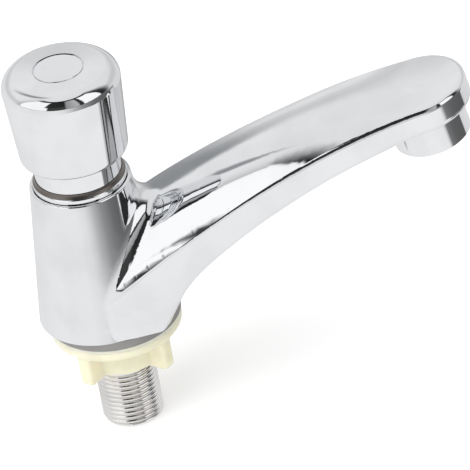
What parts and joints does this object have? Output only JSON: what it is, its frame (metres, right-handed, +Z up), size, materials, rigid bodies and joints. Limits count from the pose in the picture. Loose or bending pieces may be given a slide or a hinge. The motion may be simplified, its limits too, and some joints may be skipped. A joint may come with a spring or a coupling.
{
  "type": "push timed tap",
  "caption": "Self-closing basin tap: push knob on a necked, tapered body, arched flat spout with a tilted aerator, threaded inlet shank and a winged back nut.",
  "frame": {"origin": "on the shank's axis in the plane of the deck, which is the underside of the base gasket", "axes": "+X along the spout, +Z up through the push knob, whose axis is 2.8 mm behind the shank's; the shank and the nut reach down along -Z"},
  "size_m": [0.155, 0.0452, 0.1402],
  "materials": {
    "chrome": "polished chrome plate",
    "chrome_disc": "polished chrome plate",
    "nickel": "nickel-plated brass",
    "brass": "turned brass",
    "black_rubber": "black rubber",
    "grey_rubber": "grey rubber",
    "cream_plastic": "natural cream plastic, slightly see-through",
    "white_plastic": "white plastic",
    "steel": "stainless steel"
  },
  "bodies": {
    "tap": {"tap_body": "chrome", "shank": "nickel", "shank_seal": "black_rubber", "inlet_strainer": "steel", "base_gasket": "grey_rubber", "valve_seat": "brass", "seat_o_ring": "black_rubber", "valve_cage": "white_plastic", "bonnet": "chrome", "bonnet_o_ring": "black_rubber", "guide_bush": "white_plastic", "spindle_o_ring": "black_rubber", "collar_ring": "chrome", "return_spring": "steel", "aerator_housing": "chrome", "aerator_washer": "black_rubber", "aerator_insert": "white_plastic", "aerator_screens": "steel"},
    "spring_carrier": {"slip_plate": "steel"},
    "plunger": {"push_knob": "chrome", "index_disc": "chrome_disc", "knob_screw": "steel", "spindle": "brass", "piston": "white_plastic", "cup_seal": "black_rubber", "bleed_needle": "brass", "stem_clip": "steel", "valve_washer": "black_rubber", "stem_nut": "brass"},
    "nut_washer": {"slip_washer": "cream_plastic"},
    "nut": {"back_nut": "cream_plastic"}
  },
  "joints": [
    {"name": "push", "type": "slide", "parent": "tap", "child": "spring_carrier", "axis": [0, 0, 1], "range_m": [-0.007, 0], "stiffness_N_per_m": 1500, "springref_m": 0.006, "deforming": ["return_spring"]},
    {"name": "knob_turn", "type": "hinge", "parent": "spring_carrier", "child": "plunger", "pos_m": [-0.0028, 0, 0.09], "axis": [0, 0, 1], "continuous": true},
    {"name": "nut_travel", "type": "slide", "parent": "tap", "child": "nut_washer", "axis": [0, 0, 1], "range_m": [-0.024, 0]},
    {"name": "nut_turn", "type": "hinge", "parent": "nut_washer", "child": "nut", "pos_m": [0, 0, -0.009], "axis": [0, 0, 1], "range_deg": [-4750, 0]}
  ],
  "couplings": [
    {"joint": "nut_travel", "follows": "nut_turn", "m_per_rad": 0.00028871}
  ]
}
